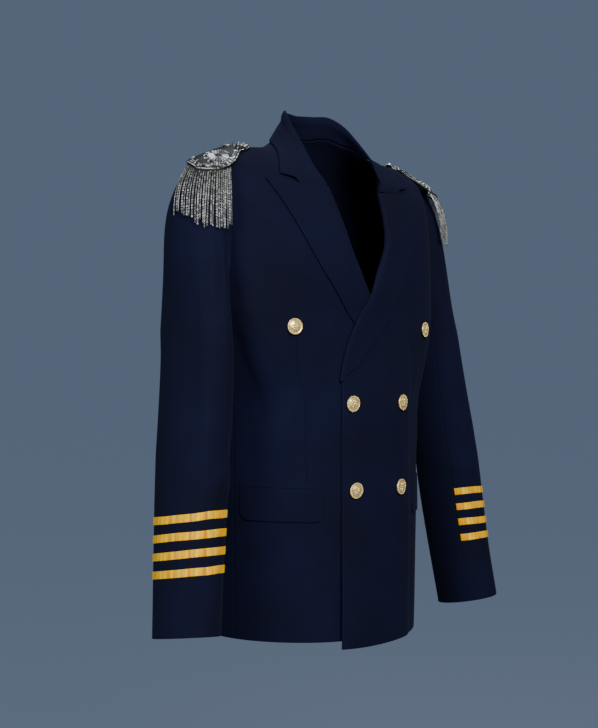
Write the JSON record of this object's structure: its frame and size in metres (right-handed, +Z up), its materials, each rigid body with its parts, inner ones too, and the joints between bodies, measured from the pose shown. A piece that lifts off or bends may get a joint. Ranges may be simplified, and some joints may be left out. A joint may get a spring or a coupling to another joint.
{
  "type": "double-breasted suit jacket",
  "caption": "Navy double-breasted peak-lapel jacket, worn shape and hollow, with gold cuff stripes and shoulder boards with chain fringe.",
  "frame": {"origin": "middle of the neck opening, level with the shoulders beside the collar, where the wearer holds the jacket up", "axes": "+Z up, -Y the way the wearer faces, +X to the wearer's left"},
  "size_m": [0.6536, 0.2515, 0.7505],
  "materials": {
    "navy_wool": "matt fine worsted, dark navy",
    "gold_ribbon": "satin metallic gold ribbon",
    "button_metal": "pale gold plated, satin",
    "silver_trim": "antique silver, small facets and chain"
  },
  "bodies": {
    "root": {"back_left": "navy_wool", "back_right": "navy_wool", "board_left": "silver_trim", "board_right": "silver_trim", "button_low_left": "button_metal", "button_low_right": "button_metal", "button_middle_left": "button_metal", "button_middle_right": "button_metal", "button_top_left": "button_metal", "button_top_right": "button_metal", "collar": "navy_wool", "flap_left": "navy_wool", "flap_right": "navy_wool", "fringe_left": "silver_trim", "fringe_right": "silver_trim", "front_left": "navy_wool", "front_right": "navy_wool", "lapel_left": "navy_wool", "lapel_right": "navy_wool", "side_left": "navy_wool", "side_right": "navy_wool", "sleeve_top_left": "navy_wool", "sleeve_top_right": "navy_wool", "sleeve_under_left": "navy_wool", "sleeve_under_right": "navy_wool", "stripe_left_1": "gold_ribbon", "stripe_left_2": "gold_ribbon", "stripe_left_3": "gold_ribbon", "stripe_left_4": "gold_ribbon", "stripe_right_1": "gold_ribbon", "stripe_right_2": "gold_ribbon", "stripe_right_3": "gold_ribbon", "stripe_right_4": "gold_ribbon", "welt_left": "navy_wool", "welt_right": "navy_wool"}
  },
  "joints": []
}
